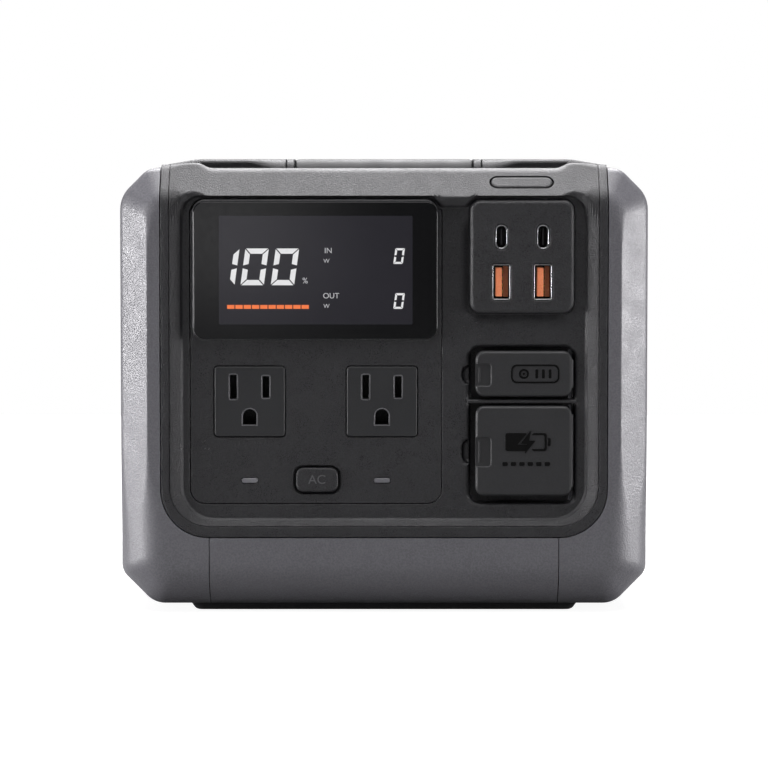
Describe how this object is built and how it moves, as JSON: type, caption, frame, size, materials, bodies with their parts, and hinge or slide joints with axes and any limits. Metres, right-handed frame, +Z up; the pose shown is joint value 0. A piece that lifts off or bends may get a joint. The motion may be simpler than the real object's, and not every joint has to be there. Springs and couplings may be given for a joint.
{
  "type": "power station",
  "caption": "Portable power station with display, household outlets, USB sockets, flap-covered ports, top handle and rear fans.",
  "frame": {"origin": "on the ground under the middle of the body", "axes": "+Z up, -Y out of the control face, +X to the right of somebody facing it"},
  "size_m": [0.207, 0.305, 0.177],
  "materials": {
    "cover_grey": "fine moulded texture, satin grey",
    "chassis_black": "moulded texture, matt black",
    "panel_black": "spark-eroded texture, matt black",
    "rubber_black": "smooth matt rubber",
    "display_glass": "polished black display window",
    "display_module": "dark display module",
    "socket_black": "smooth black plastic",
    "light_pipe": "frosted light pipe",
    "usb_orange": "orange moulding in a metal shell",
    "steel": "stamped steel",
    "cell_sleeve": "blue insulating film",
    "board_green": "solder mask",
    "sheet_aluminium": "plain aluminium",
    "copper_winding": "enamelled copper winding",
    "carrier_white": "natural white plastic"
  },
  "bodies": {
    "housing": {"ac_inlet": "socket_black", "base_screw_front_left": "steel", "base_screw_front_right": "steel", "base_screw_rear_left": "steel", "base_screw_rear_right": "steel", "bms_board": "board_green", "bottom_tray": "chassis_black", "busbar_carrier": "sheet_aluminium", "cell_1": "cell_sleeve", "cell_2": "cell_sleeve", "cell_3": "cell_sleeve", "cell_4": "cell_sleeve", "cell_5": "cell_sleeve", "cell_6": "cell_sleeve", "cell_7": "cell_sleeve", "cell_8": "cell_sleeve", "charge_hinge_pin": "steel", "dc_hinge_pin": "steel", "dc_port": "socket_black", "fan_frame_left": "socket_black", "fan_frame_right": "socket_black", "front_bezel": "panel_black", "front_board": "board_green", "front_foot": "rubber_black", "front_frame": "chassis_black", "front_skirt": "cover_grey", "grip_collar_left": "chassis_black", "grip_collar_right": "chassis_black", "handle_bar": "chassis_black", "handle_grip": "rubber_black", "heat_sink": "sheet_aluminium", "inverter_board": "board_green", "lcd_lens": "display_glass", "lcd_module": "display_module", "left_side_cover": "cover_grey", "light_pipe_left": "light_pipe", "light_pipe_right": "light_pipe", "main_panel": "panel_black", "mid_plate": "sheet_aluminium", "outlet_left": "socket_black", "outlet_right": "socket_black", "pack_cradle": "carrier_white", "rear_foot": "rubber_black", "rear_panel": "panel_black", "rear_skirt": "cover_grey", "right_side_cover": "cover_grey", "top_shell": "chassis_black", "transformer": "copper_winding", "usb_a_left": "usb_orange", "usb_a_right": "usb_orange", "usb_c_left": "steel", "usb_c_right": "steel", "usb_panel": "panel_black"},
    "ac_button": {"ac_button": "panel_black"},
    "power_button": {"power_button": "panel_black"},
    "dc_flap": {"dc_flap": "rubber_black"},
    "charge_flap": {"charge_flap": "rubber_black"},
    "fan_left": {"fan_rotor_left": "socket_black"},
    "fan_right": {"fan_rotor_right": "socket_black"}
  },
  "joints": [
    {"name": "ac_button_press", "type": "slide", "parent": "housing", "child": "ac_button", "axis": [0, 1, 0], "range_m": [0, 0.0012], "stiffness_N_per_m": 900, "springref_m": -0.0008},
    {"name": "power_button_press", "type": "slide", "parent": "housing", "child": "power_button", "axis": [0, 0.7071, -0.7071], "range_m": [0, 0.001], "stiffness_N_per_m": 900, "springref_m": -0.0008},
    {"name": "dc_flap_hinge", "type": "hinge", "parent": "housing", "child": "dc_flap", "pos_m": [0.0726, -0.1496, 0.0946], "axis": [0, 0, 1], "range_deg": [0, 105]},
    {"name": "charge_flap_hinge", "type": "hinge", "parent": "housing", "child": "charge_flap", "pos_m": [0.0726, -0.1496, 0.0644], "axis": [0, 0, 1], "range_deg": [0, 105]},
    {"name": "fan_left_spin", "type": "hinge", "parent": "housing", "child": "fan_left", "pos_m": [-0.037, 0.1416, 0.098], "axis": [0, 1, 0], "continuous": true},
    {"name": "fan_right_spin", "type": "hinge", "parent": "housing", "child": "fan_right", "pos_m": [0.037, 0.1416, 0.098], "axis": [0, 1, 0], "continuous": true}
  ]
}
